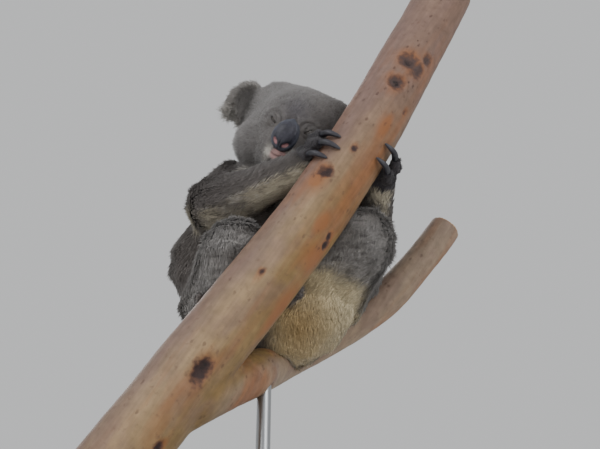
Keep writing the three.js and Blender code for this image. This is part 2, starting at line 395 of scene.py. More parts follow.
headFrame = {"noseDrop": 31.9, "eyesForward": 52.5 * mm, "eyesUp": 14 * mm}
eyes = {side: middleOf("eye_" + side) for side in sides}
noseCentre = middleOf("nose")
betweenEyes = (eyes["left"] + eyes["right"]) / 2
headX = Vector(eyes["left"] - eyes["right"]).normalized()
headY = Matrix.Rotation(-math.radians(headFrame["noseDrop"]), 3, headX) @ Vector(betweenEyes - noseCentre)
headY = (headY - headX * headY.dot(headX)).normalized()
headAxes = np.array([headX, headY, headX.cross(headY)])
headOrigin = betweenEyes + headAxes[1] * headFrame["eyesForward"] - headAxes[2] * headFrame["eyesUp"]


def toHead(points):
    return (points - headOrigin) @ headAxes.T


def fromHead(points):
    return np.asarray(points) @ headAxes + headOrigin


def headWay(x, y, z):
    return unit(np.array([x, y, z], float)) @ headAxes


print("frame and camera ready")


# The skin: one surface over all the flesh
skinForm = {"voxel": 2.4 * mm, "overlap": 0.5 * mm, "smoothing": 24, "bodySmoothing": 70, "filling": 60,
            "lastSmoothing": 6, "pawSmoothing": 0.15, "faceFade": (95 * mm, 70 * mm), "faceReach": 60 * mm,
            "eyeReach": 15 * mm}
notFlesh = ("claw", "stand", "perch", "eye", "nose")
flesh = sorted(n for n in frame["nodes"] if n.split("_")[0] not in notFlesh)
fleshShells, fleshOwners = shellsOf(flesh, skinForm["overlap"])
fleshTree = BVHTree.FromBMesh(fleshShells)


def ownersOf(points):
    return np.array([fleshOwners[fleshTree.find_nearest(Vector(p))[2]] for p in points])


def isOf(owners, *starts):
    return np.isin(owners, [i for i, n in enumerate(flesh) if n.startswith(starts)]).astype(float)


def bareSkin():
    mesh = largestPart(remeshed(meshFrom(fleshShells), skinForm["voxel"]))
    points, edges = pointsOf(mesh), edgesOf(mesh)
    onPaws = spread(isOf(ownersOf(points), "hand", "foot"), edges, 6)
    amount = 1 - onPaws * (1 - skinForm["pawSmoothing"])
    points = relax(points, edges, skinForm["smoothing"], amount)
    onFace = smoothStep(*skinForm["faceFade"], lengthOf(points - noseCentre))
    points = relax(points, edges, skinForm["bodySmoothing"], amount * (1 - onFace))
    fill = (1 - onPaws) * (1 - onFace) * (1 - spread(isOf(ownersOf(points), "ear"), edges, 4))
    for _ in range(skinForm["filling"]):
        setPoints(mesh, points)
        out = normalsOf(mesh)
        step = ((aroundMean(points, edges) - points) * out).sum(1)
        points = points + out * (np.maximum(step, 0) * fill)[:, None]
    setPoints(mesh, relax(points, edges, skinForm["lastSmoothing"], amount))
    aroundEyes = [(eye, skinForm["eyeReach"]) for eye in eyes.values()]
    for centre, reach in [(noseCentre, skinForm["faceReach"]), *aroundEyes]:
        mesh = refined(mesh, lengthOf(pointsOf(mesh) - centre) < reach)
    return mesh


skin = bareSkin()
points = pointsOf(skin)
edges = edgesOf(skin)
owners = ownersOf(points)
normals = normalsOf(skin)
print("bare skin:", len(points), "points")


def part(*starts, soft=5):
    return spread(isOf(owners, *starts), edges, soft)


# The coat of each part, in mm: the depth it stands, and the length and width of its tufts
coat = {"head": (3.6, 10, 0.85), "ear": (4.2, 9.5, 0.8), "neck": (5.5, 17, 1.1),
        "chest": (5.8, 18, 1.15), "belly": (5.8, 17, 1.15), "rump": (5.2, 14, 1.05),
        "upper": (5.2, 15, 1.0), "forearm": (4.8, 14, 0.9), "hand": (1.2, 5.0, 0.8),
        "thigh": (3.5, 14, 1.05), "shin": (3.3, 13, 1.0), "foot": (1.2, 5.0, 0.8)}
# Near the nose the coat is shorter, down to this least share
faceCoat = {"fade": (24 * mm, 80 * mm), "least": 0.34}


def coatSizes():
    kinds = np.array([coat[n.split("_")[0]] for n in flesh]) * mm
    sizes = spread(kinds[owners], edges, 10)
    awayFromNose = smoothStep(*faceCoat["fade"], lengthOf(points - noseCentre))
    shrink = faceCoat["least"] + (1 - faceCoat["least"]) * awayFromNose
    onHead = part("head")
    return sizes * (1 - onHead + onHead * shrink)[:, None]


# The lie of the coat: away from the nose, out along the ears, down the body and along the limbs. At
# its upper end each part of a limb still takes the lie of the part above it.
trunkWay = unit(np.array([0, 0.4, -1.0]))
legWay = unit(np.array([0, -0.55, -1.0]))
limbOrder = (("upper_arm", "forearm", "hand"), ("thigh", "shin", "foot"))
limbFollow = {"upper_arm": 1.0, "forearm": 1.0, "hand": 1.0, "thigh": 0.35, "shin": 0.4, "foot": 1.0}
lieForm = {"earRoot": 0.6, "earBelow": 18 * mm, "upperShare": 0.3, "blurs": 50, "blur": 0.9}


def limbWays():
    ways = {}
    for side in sides:
        for order in limbOrder:
            above = flow = legWay if "thigh" in order else trunkWay
            for index, kind in enumerate(order):
                a, b = (order[min(index, 1) + step] for step in (0, 1))
                along = unit(middleOf(f"{b}_{side}") - middleOf(f"{a}_{side}"))
                way = unit(flow + (along - flow) * limbFollow[kind])
                ways[f"{kind}_{side}"] = (above, way)
                above = way
    return ways


def coatLie():
    middle = {n: middleOf(n) for n in flesh}
    ways = limbWays()
    lie = np.tile(trunkWay, (len(points), 1))
    for index, node in enumerate(flesh):
        here = owners == index
        if node == "head":
            lie[here] = points[here] - noseCentre
        elif node.startswith("ear"):
            root = middle["head"] + (middle[node] - middle["head"]) * lieForm["earRoot"]
            lie[here] = points[here] - root - headAxes[2] * lieForm["earBelow"]
        elif node in ways:
            above, way = ways[node]
            reach = (points[here] - middle[node]) @ way
            share = smoothStep(reach.min(), reach.max() * lieForm["upperShare"], reach)
            lie[here] = np.outer(share, way) + np.outer(1 - share, above)
    lie = unit(lie)
    for _ in range(lieForm["blurs"]):
        lie = spread(lie, edges, 1, lieForm["blur"])
        lie = unit(lie - normals * (lie * normals).sum(1, keepdims=True))
    return lie


coatSize = coatSizes()
lie = coatLie()
points = points - unit(spread(normals, edges, 3)) * coatSize[:, :1]
points = spread(points, edges, 2, 0.4)


# Ears: cups open to the front, thin at the rim and thinner below, with painted shade in the upper part of
# each hollow
earForm = {"wide": 35 * mm, "tall": 39 * mm, "cup": 12 * mm, "open": 0.74, "rim": 8.5 * mm,
           "rimBelow": 0.35, "lift": 8 * mm, "liftSoft": 14, "thinFrom": (0.5, 0.95),
           "edgeFrom": (0.42, 0.74), "facing": (-0.1, 0.5), "lower": (0.1, -0.5), "shaded": (-0.2, 0.6)}


def shapeEars():
    moved = points.copy()
    sunk, rim, low = (np.zeros(len(points)) for _ in range(3))
    for side in sides:
        corners = pointsOf(frame["nodes"]["ear_" + side].data)
        centre = corners.mean(0)
        thin, wide, tall = np.linalg.eigh(np.cov((corners - centre).T))[1].T
        ahead = thin * -np.sign(thin @ headAxes[1])
        here = part("ear_" + side, soft=3)
        local = points - centre
        ring = np.hypot(local @ wide / earForm["wide"], local @ tall / earForm["tall"])
        front = smoothStep(*earForm["facing"], normals @ ahead)
        hollow = np.clip(1 - (ring / earForm["open"]) ** 2, 0, 1) * front * here
        moved -= np.outer(hollow * earForm["cup"], ahead)
        lower = smoothStep(*earForm["lower"], unit(local) @ headAxes[2])
        thinner = smoothStep(*earForm["thinFrom"], ring) * earForm["rim"]
        thinner *= 1 + earForm["rimBelow"] * lower
        moved -= unit(local) * (here * thinner)[:, None]
        lifted = part("ear_" + side, soft=earForm["liftSoft"])
        moved += np.outer(lifted * earForm["lift"], headAxes[2])
        # Painted shade: the upper part of the hollow, where shade falls inside the cup
        sunk += hollow * smoothStep(*earForm["shaded"], local @ headAxes[2] / earForm["tall"])
        rim += here * smoothStep(*earForm["edgeFrom"], ring)
        low += here * lower
    return moved, sunk, rim, low


points, earHollowShade, earRim, earLow = shapeEars()


# Closed lids over the eyeballs, with a narrow slit that shows the eye
lids = {"over": 1.2 * mm, "faces": (0.05, -0.99, 0.08), "slant": 42, "slitHalf": 5.5 * mm,
        "slitWide": 0.8 * mm, "sink": 2.0 * mm, "reach": 24 * mm, "mound": 14 * mm, "blend": 3 * mm,
        "bow": 1.4 * mm, "foldRadius": 10 * mm, "foldWide": 1.5 * mm, "foldDeep": 0.8 * mm,
        "browRadius": 13.5 * mm, "browWide": 2.4 * mm, "brow": 1.4 * mm, "shade": 1.8 * mm,
        "outTo": 1.4, "slitEnds": (1.05, 0.7), "shadeEnds": (1.3, 0.8)}
eyeRadius = (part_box("eye_right")[1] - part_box("eye_right")[0]).x / 2


def shapeLids():
    moved = points.copy()
    slitShade = np.zeros(len(points))
    for side, sign in sides.items():
        x, y, z = lids["faces"]
        out = headWay(sign * x, y, z)
        slant = math.radians(lids["slant"])
        along = headWay(sign * math.cos(slant), 0, math.sin(slant))
        along = unit(along - out * (along @ out))
        over = np.cross(out, along) * sign
        local = moved - eyes[side]
        a, b, height = local @ along, local @ over, local @ out
        reach = np.hypot(a, b)
        mound = (eyeRadius + lids["over"]) * (1 - (reach / lids["mound"]) ** 2)
        gap = (mound - height) / lids["blend"]
        near = (lengthOf(local) < lids["reach"]) & (reach < lids["mound"] * lids["outTo"])
        moved += np.outer(np.where(near, np.log1p(np.exp(gap)) * lids["blend"], 0), out)
        height = (moved - eyes[side]) @ out
        onLid = near & (height > 0)
        line = b + lids["bow"] * (1 - (a / lids["slitHalf"]) ** 2)
        ends = smoothStep(*lids["slitEnds"], np.abs(a) / lids["slitHalf"]) * onLid
        slit = bump(line, lids["slitWide"]) * ends
        fold = bump(reach - lids["foldRadius"], lids["foldWide"]) * near
        brow = bump(reach - lids["browRadius"], lids["browWide"]) * near * (b > 0)
        moved += np.outer(brow * lids["brow"] - slit * lids["sink"] - fold * lids["foldDeep"], out)
        wider = smoothStep(*lids["shadeEnds"], np.abs(a) / lids["slitHalf"]) * onLid
        slitShade = np.maximum(slitShade, bump(line, lids["shade"]) * wider)
    return moved, slitShade


points, slitShade = shapeLids()


# The mouth: a line under the nose with its corners up, and a soft lower lip
mouth = {"height": -28 * mm, "curve": 8 * mm, "half": 18 * mm, "wide": 1.1 * mm, "deep": 1.6 * mm,
         "lipDrop": 4.5 * mm, "lipWide": 3.4 * mm, "lipSwell": 1.4 * mm, "front": (-44 * mm, -52 * mm),
         "ends": (1.15, 0.8)}


def shapeMouth():
    x, y, z = toHead(points).T
    across = np.abs(x) / mouth["half"]
    line = z - mouth["height"] - mouth["curve"] * across ** 2
    here = part("head") * smoothStep(*mouth["ends"], across) * smoothStep(*mouth["front"], y)
    groove = bump(line, mouth["wide"]) * here
    lip = bump(line + mouth["lipDrop"], mouth["lipWide"]) * here
    return points + normals * (lip * mouth["lipSwell"] - groove * mouth["deep"])[:, None], groove


points, mouthGroove = shapeMouth()
setPoints(skin, points)
normals = normalsOf(skin)
print("skin shaped")


# Markings of the skin and of the tufts on it
tones = {name: linearColour(code) for name, code in {
    "grey": "#696665", "back": "#55504c", "flank": "#4f4946", "dark": "#524d4b", "armPale": "#aba390",
    "cream": "#c2b493", "white": "#b0aca6", "leg": "#7e7b79", "stain": "#9b8156", "lip": "#8f7472",
    "slit": "#1b1716", "hand": "#3d3a3e", "foot": "#6a6563", "earFront": "#757270", "earDeep": "#5b5857",
    "fringe": "#918d87", "brow": "#55535a", "chest": "#b3aea4", "headBack": "#55504c",
    "mouthShade": "#1b1716"}.items()}
# How strongly a marking shows where it isn't full, and how much of three places is flecked, the dark flecks
# being painted shade between clumps of fur
strength = {"flank": 0.8, "stain": 0.95, "brow": 0.6, "headBack": 0.5, "white": 1.3, "mouthShade": 0.5,
            "earFront": 0.9, "earDeep": 0.8, "fringe": 0.8}
fleckShares = {"leg": 0.7, "armLine": 0.9, "pale": 0.08}
stain = {"x": -1 * mm, "up": 37 * mm, "size": 41 * mm}
# Where the pale fur of the rump and inner thighs ends: its upper border slopes down to the left side
paleFur = {"borderX": 23 * mm, "borderZ": 492 * mm, "slope": -0.22, "ragged": 14 * mm, "soft": 13 * mm,
           "right": (-45 * mm, -20 * mm), "left": (112 * mm, 86 * mm), "allRound": (428 * mm, 408 * mm),
           "facing": (-0.1, 0.45)}
# The bare lip and the white chin beside it, in the head's frame
chin = {"lipHalf": 10 * mm, "middle": -26 * mm, "lipTall": 7.5 * mm, "whiteOut": 14 * mm,
        "whiteHalf": 5 * mm, "whiteTall": 8.5 * mm, "front": (-56 * mm, -62 * mm)}
# The pale underside of the arms wraps round the elbow, over these heights
elbow = {"below": (585 * mm, 540 * mm), "outside": (610 * mm, 565 * mm), "less": 0.34, "wrap": 0.8}
# On the head: the dark place between the eyes, and the brown that begins at its back and left
headMarks = {"between": (0, -62 * mm, 34 * mm), "size": 15 * mm, "backUp": (25 * mm, 60 * mm),
             "backLeft": (-5 * mm, 35 * mm)}
# The size of the two noises that roughen the borders of the markings
borderNoise = {"broad": 40 * mm, "fine": 11 * mm}


def markings():
    face = toHead(points)
    under, ahead = -normals[:, 2], -normals[:, 1]
    broad = noiseOf(points, borderNoise["broad"], 1)
    fine = noiseOf(points, borderNoise["fine"], 2)
    x, _, z = points.T
    head, ear = part("head"), part("ear", soft=3)
    arm, leg = part("upper_arm", "forearm"), part("thigh", "shin", soft=24)
    hand, foot = part("hand", soft=3), part("foot", soft=3)
    tint = np.tile(tones["grey"], (len(points), 1))

    def tinge(tone, share):
        nonlocal tint
        tint = mixed(tint, tones[tone], np.clip(share * strength.get(tone, 1), 0, 1))

    tinge("back", 1 - part("head", "ear", soft=30))
    tinge("flank", part("belly", "rump", soft=12) * smoothStep(-0.6, 0.2, ahead + 0.2 * broad))
    tinge("chest", part("neck", "chest", soft=12) * smoothStep(0.45, 0.9, ahead))
    tinge("leg", leg * (0.9 + 0.3 * broad) * smoothStep(-0.9, -0.1, ahead + 0.3 * broad))
    border = paleFur["borderZ"] + paleFur["slope"] * (x - paleFur["borderX"])
    border += paleFur["ragged"] * (broad + 0.6 * fine)
    pale = smoothStep(paleFur["soft"], -paleFur["soft"], z - border)
    pale *= np.maximum(smoothStep(*paleFur["facing"], (ahead + under) * 0.7 + 0.2 * broad),
                       smoothStep(*paleFur["allRound"], z))
    pale *= smoothStep(*paleFur["right"], x) * smoothStep(*paleFur["left"], x)
    tinge("cream", pale)
    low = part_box("rump")[0]
    place = np.array([stain["x"], low[1], low[2] + stain["up"]])
    away = lengthOf((points - place) * [1, 0.5, 0.8])
    tinge("stain", pale * bump(away, stain["size"]))
    tinge("dark", arm * smoothStep(0.95, 0.6, under + 0.1 * broad))
    outside = smoothStep(0.8, 0.98, -normals[:, 0]) * smoothStep(*elbow["outside"], z)
    paler = elbow["wrap"] * outside - elbow["less"] * smoothStep(*elbow["below"], z)
    tinge("armPale", arm * smoothStep(0.42, 0.86, under + paler + 0.12 * broad + 0.25 * fine))
    tint = spread(tint, edges, 10)
    tinge("hand", hand)
    tinge("foot", foot)
    tinge("brow", head * bump(lengthOf(face - headMarks["between"]), headMarks["size"]))
    leftward, forward, up = face.T
    atBack = smoothStep(*headMarks["backUp"], up) * smoothStep(*headMarks["backLeft"], leftward)
    tinge("headBack", head * atBack)
    front = head * smoothStep(*chin["front"], forward)
    height = up - chin["middle"]
    whiteAway = (np.abs(leftward) - chin["whiteOut"]) / chin["whiteHalf"]
    white = bump(np.hypot(whiteAway, height / chin["whiteTall"]), 1.0)
    lipAway = np.hypot(leftward / chin["lipHalf"], height / chin["lipTall"])
    bareLip = smoothStep(1.25, 0.85, lipAway) * front
    tinge("white", white * front)
    tinge("lip", bareLip)
    # Painted shade: a dark line in the mouth's groove
    tinge("mouthShade", mouthGroove * bareLip)
    tinge("slit", slitShade)
    tinge("earFront", ear)
    # Painted shade in the upper part of each ear's hollow
    tinge("earDeep", earHollowShade)
    tinge("fringe", earRim * (0.3 + 0.6 * earLow))
    armLine = smoothStep(0.25, 0.5, under) * smoothStep(0.95, 0.7, under)
    flecked = leg * fleckShares["leg"] * (1 - pale) + arm * armLine * fleckShares["armLine"]
    flecked += pale * fleckShares["pale"]
    return np.clip(tint, 0, 1), np.clip(flecked, 0, 1), bareLip


tint, flecked, bareLip = markings()

# Fringes of long hair: round the ears, longest below, on the cheeks and under the arms
fringes = {"ear": 1 * mm, "earLow": 10 * mm, "cheek": 5 * mm, "arm": 2 * mm, "cheekOut": (40 * mm, 62 * mm),
           "cheekUp": (20 * mm, -5 * mm)}


def addFringes():
    armUnder = part("upper_arm", "forearm") * smoothStep(0.3, 0.8, -normals[:, 2])
    leftward, _, up = toHead(points).T
    cheek = part("head") * smoothStep(*fringes["cheekUp"], up)
    cheek *= smoothStep(*fringes["cheekOut"], np.abs(leftward))
    coatSize[:, 1] += np.clip(earRim, 0, 1) * (fringes["ear"] + fringes["earLow"] * earLow)
    coatSize[:, 1] += cheek * fringes["cheek"] + armUnder * fringes["arm"]


addFringes()

# How thickly the coat grows: none on the lids' edges, the lips and under the nose pad
bareForm = {"noseReach": 45 * mm, "noseGap": (2.5 * mm, 0.5 * mm), "slit": 2, "lip": 1.6}


def haired():
    pad = BVHTree.FromBMesh(shellOf("nose"))
    nearNose = lengthOf(points - noseCentre) < bareForm["noseReach"]
    gaps = np.full(len(points), 1.0)
    gaps[nearNose] = [pad.find_nearest(Vector(p))[3] for p in points[nearNose]]
    bare = slitShade * bareForm["slit"] + bareLip * bareForm["lip"] + smoothStep(*bareForm["noseGap"], gaps)
    return np.clip(1 - bare, 0, 1)


# The coat is made in these pieces: the tufts' spacing in mm, and the body parts they grow on. The
# head's own coat is in two, with this edge between them.
coatPieces = {
    "coat_face": (0.70, "head"),
    "coat_crown": (0.78, "head"),
    "coat_ears": (0.70, "ear"),
    "coat_chest": (0.98, "neck", "chest"),
    "coat_belly": (0.95, "belly"),
    "coat_rump": (0.88, "rump"),
    "coat_arm_right": (0.80, "upper_arm_right", "forearm_right"),
    "coat_arm_left": (0.95, "upper_arm_left", "forearm_left"),
    "coat_leg_right": (0.88, "thigh_right", "shin_right"),
    "coat_leg_left": (0.82, "thigh_left", "shin_left"),
    "coat_paws": (0.72, "hand", "foot"),
}
faceEdge = -8 * mm


def storeMarkings():
    number = np.zeros(len(points), int)
    for index, (_, *parts) in enumerate(coatPieces.values()):
        number[isOf(owners, *parts) > 0] = index
    ahead = toHead(points)[:, 1] < faceEdge
    number[(isOf(owners, "head") > 0) & ahead] = list(coatPieces).index("coat_face")
    firsts = np.array([p.vertices[0] for p in skin.polygons])
    setAttribute(skin, "tint", np.c_[tint, np.ones(len(points))], "FLOAT_COLOR")
    for name, values in (("root", points), ("skinWay", normals), ("lie", lie * coatSize[:, 1:2])):
        setAttribute(skin, name, values, "FLOAT_VECTOR")
    for name, values in (("flecked", flecked), ("coatDepth", coatSize[:, 0]), ("coatWidth", coatSize[:, 2]),
                         ("haired", haired())):
        setAttribute(skin, name, values)
    setAttribute(skin, "patch", number[firsts], "INT", "FACE")


storeMarkings()
print("markings laid")


# Materials of the skin and coat. The skin is this much lighter than the tufts, which shade it.
underLight = (1.15, 1.12, 1.1, 1)
skinMap = {"angle": math.radians(66), "margin": 0.0005}


def markingsGroup():
    group = bpy.data.node_groups.new("koala markings", "ShaderNodeTree")
    group.interface.new_socket("Colour", in_out="OUTPUT", socket_type="NodeSocketColor")
    root = attribute(group, "root", "Vector")
    share = attribute(group, "flecked")
    mottle = noisy(group, root, 150, 4, (0.3, 0.7), (0.84, 1.16))
    broad = noisy(group, root, 34, 3, (0.3, 0.7), (0.9, 1.1))
    shaded = scaled(group, attribute(group, "tint", "Color"), times(group, mottle, broad))
    # The dark dashes are painted shade: the gaps between wavy clumps of fur, drawn across the tufts
    flecks = noiseIn(group, stretched(group, objectPlace(group), (0.8, 1.0, 2.8)), 78, 4)
    dark = times(group, ranged(group, flecks, 0.56, 0.63, 0, 0.7), share)
    pale = times(group, ranged(group, flecks, 0.44, 0.34, 0, 0.4), share)
    clumpShaded = blended(group, dark, shaded, "#37332f")
    out = group.nodes.new("NodeGroupOutput")
    group.links.new(blended(group, pale, clumpShaded, "#aeaba6"), out.inputs[0])
    return group


markingsNodes = markingsGroup()


def furMaterial():
    material, tree, surface = newMaterial("woolly coat", Roughness=0.85, Specular_IOR_Level=0.15,
                                          Sheen_Weight=0.25, Sheen_Roughness=0.6)
    colour = addNode(tree, "ShaderNodeGroup", node_tree=markingsNodes).outputs[0]
    along = ranged(tree, attribute(tree, "along"), 0, 1, 0.9, 1.1)
    shade = ranged(tree, attribute(tree, "shade"), 0, 1, 0.88, 1.13)
    linked(tree, surface, Base_Color=scaled(tree, colour, times(tree, along, shade)))
    return material


def skinMaterial():
    material, tree, surface = newMaterial("skin under the coat", Roughness=0.85, Specular_IOR_Level=0.2)
    colour = addNode(tree, "ShaderNodeGroup", node_tree=markingsNodes).outputs[0]
    linked(tree, surface, Base_Color=scaled(tree, colour, underLight))
    bumped(tree, surface, noiseIn(tree, objectPlace(tree), 900), 0.5, 0.6 * mm)
    return material


def unwrapSkin(body):
    bpy.context.view_layer.objects.active = body
    body.select_set(True)
    bpy.ops.object.mode_set(mode="EDIT")
    bpy.ops.mesh.select_all(action="SELECT")
    bpy.ops.uv.smart_project(angle_limit=skinMap["angle"], island_margin=skinMap["margin"])
    bpy.ops.object.mode_set(mode="OBJECT")
    body.data.uv_layers[0].name = "OFBake"


skin.shade_smooth()
furFinish = furMaterial()
body = newObject("skin", skin, skinMaterial())
unwrapSkin(body)
print("skin unwrapped")


# The coat: bent tufts that lie on the skin, by Geometry Nodes
tuft = {"middle": 0.42, "rootSink": 0.25, "tipHeight": 0.96, "thick": 0.3, "sideBends": (-0.14, 0.0, 0.16),
        "bendAtMiddle": 0.3, "bakePatch": 0.003}
coatLay = {"Clump size": 7 * mm, "Clump pull": 0.35, "Ruffle": 0.4, "Wave": 2.6 * mm, "Softness": 1.0}
# How much tufts vary: in length, width and depth, and in how far each is turned about its own axes
variety = {"sizes": ((0.7, 1.2), (0.75, 1.25), (0.8, 1.06)), "turns": (0.5, 0.25, 1.0)}


# A closed tuft of six triangles: from a sunk root to its widest place, and on to its tip
def tuftShape(bend):
    t = tuft["middle"]
    height = 1 - (1 - t) ** 2
    form = bmesh.new()
    root = form.verts.new((0, 0, -tuft["rootSink"]))
    aside = bend * tuft["bendAtMiddle"]
    ring = [form.verts.new((t, aside + side / 2, height)) for side in (1, -1)]
    ring.append(form.verts.new((t, aside, height - tuft["thick"])))
    tip = form.verts.new((1, bend, tuft["tipHeight"]))
    for i in range(3):
        j = (i + 1) % 3
        form.faces.new((ring[i], ring[j], root))
        form.faces.new((ring[j], ring[i], tip))
    bmesh.ops.recalc_face_normals(form, faces=form.faces)
    mesh = meshFrom(form)
    setAttribute(mesh, "along", [0, t, t, t, 1])
    patch = np.array([(0.5, 0, 0), (1, t, 0), (0, t, 0), (0.5, t * 0.8, 0), (0.5, 1, 0)])
    setAttribute(mesh, "patchPlace", patch * tuft["bakePatch"], "FLOAT_VECTOR")
    return mesh


def coatTree(shapes):
    tree = bpy.data.node_groups.new("coat", "GeometryNodeTree")
    for name, kind in {"Geometry": "Geometry", "Piece": "Int", "Spacing": "Float", "Clump size": "Float",
                       "Clump pull": "Float", "Ruffle": "Float", "Wave": "Float", "Softness": "Float",
                       "Seed": "Int", "Finish": "Material"}.items():
        tree.interface.new_socket(name, in_out="INPUT", socket_type="NodeSocket" + kind)
    tree.interface.new_socket("Geometry", in_out="OUTPUT", socket_type="NodeSocketGeometry")
    given = tree.nodes.new("NodeGroupInput").outputs
    place = tree.nodes.new("GeometryNodeInputPosition").outputs[0]

    def add(kind, inputs, **settings):
        return enabledOutput(addNode(tree, kind, inputs, **settings))

    def named(name, kind="FLOAT"):
        return add("GeometryNodeInputNamedAttribute", {"Name": name}, data_type=kind)

    def vector(operation, a, b=None, scale=None):
        inputs = {key: value for key, value in ((0, a), (1, b), ("Scale", scale)) if value is not None}
        return add("ShaderNodeVectorMath", inputs, operation=operation)

    def chance(low, high, seed, kind="FLOAT"):
        return add("FunctionNodeRandomValue", {"Min": low, "Max": high, "Seed": seed}, data_type=kind)

    def joined(values):
        return add("ShaderNodeCombineXYZ", dict(zip("XYZ", values)))

    # Roots, and the way each tuft runs: with the lie of the coat, drawn to its clump's middle
    chosen = add("FunctionNodeCompare", {"A": named("patch", "INT"), "B": given["Piece"]},
                 data_type="INT", operation="EQUAL")
    spacing = given["Spacing"]
    densest = calc(tree, "DIVIDE", 2.0, times(tree, spacing, spacing))
    roots = addNode(tree, "GeometryNodeDistributePointsOnFaces",
                    {"Mesh": given["Geometry"], "Selection": chosen, "Distance Min": spacing,
                     "Density Max": densest, "Density Factor": named("haired"), "Seed": given["Seed"]},
                    distribute_method="POISSON").outputs
    clumps = addNode(tree, "ShaderNodeTexVoronoi",
                     {"Vector": place, "Scale": calc(tree, "DIVIDE", 1.0, given["Clump size"])})
    pull = vector("SCALE", vector("SUBTRACT", clumps.outputs["Position"], place), scale=given["Clump pull"])
    run = vector("ADD", named("lie", "FLOAT_VECTOR"), pull)
    laid = add("FunctionNodeAxesToRotation", {"Primary Axis": roots["Normal"], "Secondary Axis": run},
               primary_axis="Z", secondary_axis="X")
    turns = [times(tree, given["Ruffle"], chance(-most, most, seed))
             for seed, most in enumerate(variety["turns"], 1)]
    turn = add("FunctionNodeEulerToRotation", {"Euler": joined(turns)})
    rotation = add("FunctionNodeRotateRotation", {"Rotation": laid, "Rotate By": turn},
                   rotation_space="LOCAL")
    full = (vector("LENGTH", run), named("coatWidth"), named("coatDepth"))
    sizes = [times(tree, size, chance(*span, seed))
             for seed, (size, span) in enumerate(zip(full, variety["sizes"]), 4)]

    # The tufts themselves
    forms = add("GeometryNodeCollectionInfo",
                {"Collection": shapes, "Separate Children": True, "Reset Children": True})
    grown = add("GeometryNodeInstanceOnPoints",
                {"Points": roots["Points"], "Instance": forms, "Pick Instance": True,
                 "Instance Index": chance(0, len(tuft["sideBends"]) - 1, 7, "INT"),
                 "Rotation": rotation, "Scale": joined(sizes)})
    shaded = add("GeometryNodeStoreNamedAttribute",
                 {"Geometry": grown, "Name": "shade", "Value": chance(0.0, 1.0, 8)},
                 data_type="FLOAT", domain="INSTANCE")
    real = add("GeometryNodeRealizeInstances", {"Geometry": shaded})
    wind = addNode(tree, "ShaderNodeTexNoise",
                   {"Vector": place, "Scale": 120.0, "Detail": 1.0}).outputs["Color"]
    bent = times(tree, times(tree, named("along"), named("along")), given["Wave"])
    drift = vector("SCALE", vector("SUBTRACT", wind, (0.5, 0.5, 0.5)), scale=bent)
    waved = add("GeometryNodeSetPosition", {"Geometry": real, "Offset": drift})

    # Shading that follows the body more than each tuft's own sides
    own = tree.nodes.new("GeometryNodeInputNormal").outputs[0]
    skinWay = named("skinWay", "FLOAT_VECTOR")
    facing = vector("DOT_PRODUCT", own, skinWay)
    lean = times(tree, given["Softness"], ranged(tree, facing, -1.0, 1.0, 0.3, 1.9))
    soft = vector("NORMALIZE", vector("ADD", own, vector("SCALE", skinWay, scale=lean)))
    smooth = add("GeometryNodeSetShadeSmooth", {"Geometry": waved})
    softened = add("GeometryNodeSetMeshNormal", {"Mesh": smooth, "Custom Normal": soft},
                   mode="FREE", domain="POINT")

    # Each tuft's own small patch of the map, at its root's place
    mapPlace = vector("ADD", named("OFBake", "FLOAT_VECTOR"), named("patchPlace", "FLOAT_VECTOR"))
    mapped = add("GeometryNodeStoreNamedAttribute",
                 {"Geometry": softened, "Name": "OFBake", "Value": mapPlace},
                 data_type="FLOAT2", domain="CORNER")
    finished = add("GeometryNodeSetMaterial", {"Geometry": mapped, "Material": given["Finish"]})
    for spare in ("lie", "coatDepth", "coatWidth", "haired", "patch", "patchPlace", "skinWay"):
        finished = add("GeometryNodeRemoveAttribute", {"Geometry": finished, "Name": spare})
    out = tree.nodes.new("NodeGroupOutput")
    tree.links.new(finished, out.inputs[0])
    return tree


tuftShapes = bpy.data.collections.new("tuft shapes")
for number, bend in enumerate(tuft["sideBends"]):
    tuftShapes.objects.link(bpy.data.objects.new(f"tuft{number}", tuftShape(bend)))
coatNodes = coatTree(tuftShapes)


def growCoat(name, number):
    work = newObject("work", skin)
    modifier = work.modifiers.new("coat", "NODES")
    modifier.node_group = coatNodes
    inputs = {s.name: s.identifier for s in coatNodes.interface.items_tree if s.in_out == "INPUT"}
    values = {"Piece": number, "Spacing": coatPieces[name][0] * mm, "Seed": number + 3, "Finish": furFinish}
    for key, value in {**values, **coatLay}.items():
        modifier[inputs[key]] = value
    mesh = applied(work)
    piece = newObject(name, mesh)
    print(name, sum(p.loop_total - 2 for p in mesh.polygons), "triangles")
    return piece


handOver(body, "coat", *flesh)
for number, name in enumerate(coatPieces):
    handOver(growCoat(name, number), "coat")
for shape in list(tuftShapes.objects):
    bpy.data.objects.remove(shape)


# The nose: a leathery pad, flattened above "top" and rolled about "pivot", with a dark slot of painted
# shade in each of its two nostrils and a painted highlight round its rim
noseForm = {"voxel": 0.65 * mm, "grow": 0.3 * mm, "smoothing": 50, "top": 10 * mm, "topShare": 0.66,
            "roll": 9, "pivot": -6 * mm, "across": 7.3 * mm, "up": -12.3 * mm, "slant": 45,
            "long": 4.8 * mm, "short": 2.3 * mm, "deep": 3.5 * mm, "slotUp": 0.7 * mm, "slotLong": 3.6 * mm,
            "slotWide": 0.9 * mm, "crease": 0.8 * mm, "creaseWide": 0.9 * mm,
            "creaseBelow": (-2 * mm, -11 * mm), "rim": 0.8 * mm, "facing": (-0.1, 0.4),
            "rimFrom": (0.75, 0.35), "rimTo": (-0.2, 0.2)}


